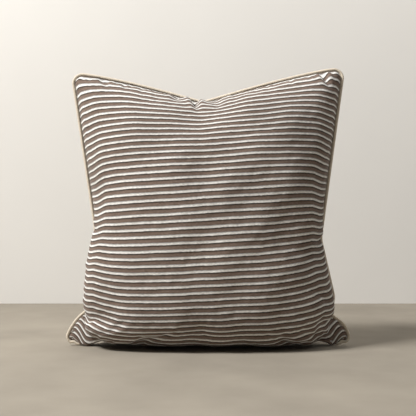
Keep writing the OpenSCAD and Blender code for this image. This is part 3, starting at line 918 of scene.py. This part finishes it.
def tape(leg_y, foot_end):
    """An L of woven tape: its foot holds the coil and its leg is sewn to the allowance. The leg ripples
    a little between the stitches, and a fan of triangles closes each end."""
    inward = 1 if foot_end > leg_y else -1
    line, out, run = straight(-ZIP_LEN / 2 - TAPE_END, ZIP_LEN / 2 + TAPE_END, 0.0035)
    top_z = SEAM_TOP_Z + SEAM_ALLOW - 0.001
    heights = np.linspace(TAPE_Z + TAPE_T, top_z, 6)
    profile = [(TAPE_Z, leg_y), (TAPE_Z, (leg_y + foot_end) / 2), (TAPE_Z, foot_end)]
    profile += [(TAPE_Z + TAPE_T, foot_end)]
    profile += [(z, leg_y + inward * TAPE_T) for z in heights] + [(z, leg_y) for z in heights[::-1]]
    profile = np.array(profile)
    across = np.broadcast_to(profile, (len(line), *profile.shape)).copy()
    leg = np.clip((profile[:, 0] - TAPE_Z - 0.002) / 0.008, 0, 1)
    across[..., 1] += inward * 0.00012 * leg * (1 + np.sin(2 * np.pi * run / 0.013))[:, None]
    points, uv = carried(across, line, out, run)
    ring = len(profile)
    walls = tube_walls(points, ring)
    ends = points.reshape(-1, ring, 3)[[0, -1]].mean(1)
    hub = len(points)
    first_ring = np.arange(ring)
    last_ring = hub - ring + first_ring
    fan_a = np.stack([first_ring, np.roll(first_ring, -1), np.full(ring, hub)], 1)
    fan_b = np.stack([np.roll(last_ring, -1), last_ring, np.full(ring, hub + 1)], 1)
    fans = np.concatenate([fan_a, fan_b])
    # both kinds of face turn round with the side the foot is on
    points, uv = np.concatenate([points, ends]), np.concatenate([uv, uv[[0, -1]]])
    return points, walls[:, ::-inward], fans[:, ::inward], uv


def tape_piece(name, node_name, leg_y, foot_end):
    """A tape as a finished piece."""
    points, faces, triangles, uv = tape(leg_y, foot_end)
    all_faces = faces.tolist() + triangles.tolist()
    mesh = bpy.data.meshes.new(name)
    mesh.from_pydata(points.tolist(), [], all_faces)
    corner_uv = np.concatenate([uv[faces].reshape(-1, 2), uv[triangles].reshape(-1, 2)])
    mesh.uv_layers.new(name="cloth").data.foreach_set("uv", corner_uv.astype(np.float32).ravel())
    mesh.materials.append(TAPE)
    made = bpy.data.objects.new(name, mesh)
    scene.collection.objects.link(made)
    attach(made, "cushion")
    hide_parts(node_name)
    print(f"{name}: {len(all_faces)} faces")
    return made


back_leg = ZIP_GAP + FLANGE_Y
tape_front = tape_piece("zip_tape_front_woven", "zip_tape_front", RIM_Y, CHAIN_Y - CHAIN_GAP / 2)
tape_back = tape_piece("zip_tape_back_woven", "zip_tape_back", back_leg, CHAIN_Y + CHAIN_GAP / 2)

# %% [markdown]
# The nylon is a smooth, slightly clear plastic, and the metal is satin brass with fine scratches and a
# cloudy, darker tarnish in places.

# %% Nylon and brass
def nylon():
    """Cream nylon: glossy, with a little light passing through."""
    made, tree, shader = finish("zip_nylon", 0.32)
    place = node(tree, "TexCoord").outputs["Object"]
    shade = ramp(tree, noise(tree, place, 900), [(0.3, (0.70, 0.62, 0.50)), (0.7, (0.80, 0.73, 0.61))])
    tree.links.new(shade, shader.inputs["Base Color"])
    shader.inputs["Subsurface Weight"].default_value = 0.1
    relief(tree, shader, noise(tree, place, 2500), 0.15, 0.0001)
    return made


def brass():
    """Satin brass: long scratches in the roughness and cloudy tarnish in the colour."""
    made, tree, shader = finish("zip_brass", 0.34, metallic=1.0)
    place = node(tree, "TexCoord").outputs["Object"]
    cloud = noise(tree, place, 420, detail=5.0)
    scratch = noise(tree, place, 1800, (0.08, 1, 1), detail=3.0)
    tree.links.new(ramp(tree, cloud, [(0.3, (0.50, 0.34, 0.14)), (0.7, (0.76, 0.56, 0.27))]),
                   shader.inputs["Base Color"])
    tree.links.new(node(tree, "MapRange", {"Value": scratch, "To Min": 0.25, "To Max": 0.5}).outputs[0],
                   shader.inputs["Roughness"])
    relief(tree, shader, scratch, 0.2, 0.00008)
    return made


NYLON, BRASS = nylon(), brass()

# %% The coils
TURN_POINTS, WIRE_POINTS = 12, 5


def coil(direction):
    """One wire wound into a flattened spiral along X, with the ring of its points square to the wire."""
    turns = round((ZIP_LEN - 2 * WIRE_R) / COIL_TURN)
    angle = np.linspace(0, 2 * np.pi * turns, turns * TURN_POINTS + 1)
    mid_y = CHAIN_Y + direction * (CHAIN_GAP + TOOTH_W) / 2
    mid_z = TAPE_Z - TOOTH_H / 2
    wide, tall = TOOTH_W / 2 - WIRE_R, TOOTH_H / 2 - WIRE_R
    x = -ZIP_LEN / 2 + WIRE_R + (ZIP_LEN - 2 * WIRE_R) * angle / angle[-1]
    line = np.stack([x, mid_y + wide * np.cos(angle), mid_z + tall * np.sin(angle)], 1)
    out = np.stack([0 * x, np.cos(angle) * tall, np.sin(angle) * wide], 1)
    out /= np.linalg.norm(out, axis=1, keepdims=True)
    along = np.gradient(line, axis=0)
    side = np.cross(along, out)
    side /= np.linalg.norm(side, axis=1, keepdims=True)
    ring = circle(WIRE_R, 0, 288, WIRE_POINTS)
    points = line[:, None] + ring[None, :, :1] * out[:, None] + ring[None, :, 1:] * side[:, None]
    return points.reshape(-1, 3)


for side, name in ((FRONT, "zip_teeth_front"), (BACK, "zip_teeth_back")):
    points = coil(side)
    piece(name + "_coil", points, tube_walls(points, WIRE_POINTS), None, NYLON, [name])

# %% Zip stitches and the metal parts
OFF_TAPE = TAPE_T + 0.0003


def zip_row(y, sign):
    """A straight row of stitches on a leg of tape, which dive towards -Y where sign is 1."""
    line, out, run = straight(-ZIP_LEN / 2, ZIP_LEN / 2, STITCH / 5)
    line = line + (0, y, SEAM_TOP_Z + SEAM_ALLOW - 0.005)
    points, uv = carried(thread_profile, line, out, run)
    points = points.reshape(len(line), -1, 3)
    points[..., 1] += (-sign * dive_of(run))[:, None]
    points = points.reshape(-1, 3)
    return points, tube_walls(points, THREAD_POINTS), uv


zip_rows = [zip_row(RIM_Y + OFF_TAPE, 1), zip_row(back_leg - OFF_TAPE, -1)]
zip_stitches = joined("zip_stitches", zip_rows, ["zip_thread"])
for name in ("zip_slider", "zip_pull", "zip_top_stops", "zip_bottom_stop"):
    metal = bpy.data.objects[name]
    metal.data.materials.clear()
    metal.data.materials.append(BRASS)
print("metal parts finished")

# %% [markdown]
# ## The insert and its stuffing
# Inside the cover is a plain cotton case of the same shape, full of fibre. It is drawn from the cover's
# own surface: each point moves in by a share that is largest at the seam, and the thickness shrinks
# with it, so the case never comes through the cover.

# %% Insert case and fibre
INSERT_POINTS = FINE // 2 + 1
# how far in at the seam, how far in at the fullest place, half the gap between the halves, thickness
CASE_RIM, CASE_SKIN, CASE_Y, CASE_T = 0.024, 0.0026, 0.0002, 0.0006
FILL_RIM, FILL_SKIN, FILL_Y = 0.0295, 0.0046, 0.0003


def inside(side, rim_in, skin, rim_y):
    """The cover's surface moved in: by the skin where it is fullest, by rim_in at the seam."""
    grid = smooth[side][::2, ::2]
    thick = np.abs(grid[..., 1])
    full = thick / thick.max()
    by = skin + (rim_in - skin) * (1 - np.sqrt(full))
    keep = 1 - by / HALF_SPAN
    x = grid[..., 0] * keep
    z = MID_Z + (grid[..., 2] - MID_Z) * keep
    y = side * (rim_y + (thick.max() - skin * 1.6 - rim_y) * full * (0.84 + 0.16 * full))
    return np.stack([x, y, np.maximum(z, skin)], -1).reshape(-1, 3)


def two_layers(size):
    """Faces of two square grids of points, one facing each way, and of the edge between them."""
    second, ring = size * size, ring_of(size)
    return np.concatenate([grid_quads(size, size), grid_quads(size, size, flip=True, start=second),
                           ring_quads(ring, second + ring)])


def case_panel(side, name):
    """Half of the case, a thin closed sheet: outside, inside and the edge between them."""
    outer = inside(side, CASE_RIM, CASE_SKIN, CASE_Y)
    inner = inside(side, CASE_RIM + 2 * CASE_T, CASE_SKIN + CASE_T, CASE_Y)
    faces = two_layers(INSERT_POINTS)
    line = np.linspace(-FLAT / 2, FLAT / 2, INSERT_POINTS)
    flat = np.stack(np.meshgrid(line, line, indexing="ij"), -1).reshape(-1, 2)
    return piece(name + "_case", np.concatenate([outer, inner]), faces if side == FRONT else faces[:, ::-1],
                 np.concatenate([flat, flat]), COTTON, [name])


cases = [case_panel(FRONT, "insert_front"), case_panel(BACK, "insert_back")]


def fibre():
    """White polyester fibre: strands in every direction, as stretched noise in colour and bump."""
    made, tree, shader = finish("fibre_fill", 0.95, sheen=0.3)
    place = node(tree, "TexCoord").outputs["Object"]
    strands = noise(tree, place, 160, (1, 0.2, 3), detail=8.0)
    tufts = noise(tree, place, 38, detail=4.0)
    base = ramp(tree, strands, [(0.3, (0.78, 0.78, 0.77)), (0.7, (0.92, 0.92, 0.90))])
    tree.links.new(tinted(tree, base, tufts, 0.88, 1.05), shader.inputs["Base Color"])
    relief(tree, shader, maths(tree, "ADD", strands, tufts), 0.7, 0.002)
    return made


halves = np.concatenate([inside(side, FILL_RIM, FILL_SKIN, FILL_Y) for side in (FRONT, BACK)])
fill = piece("fibre_fill", halves, two_layers(INSERT_POINTS), None, fibre(), ["insert_fill"])
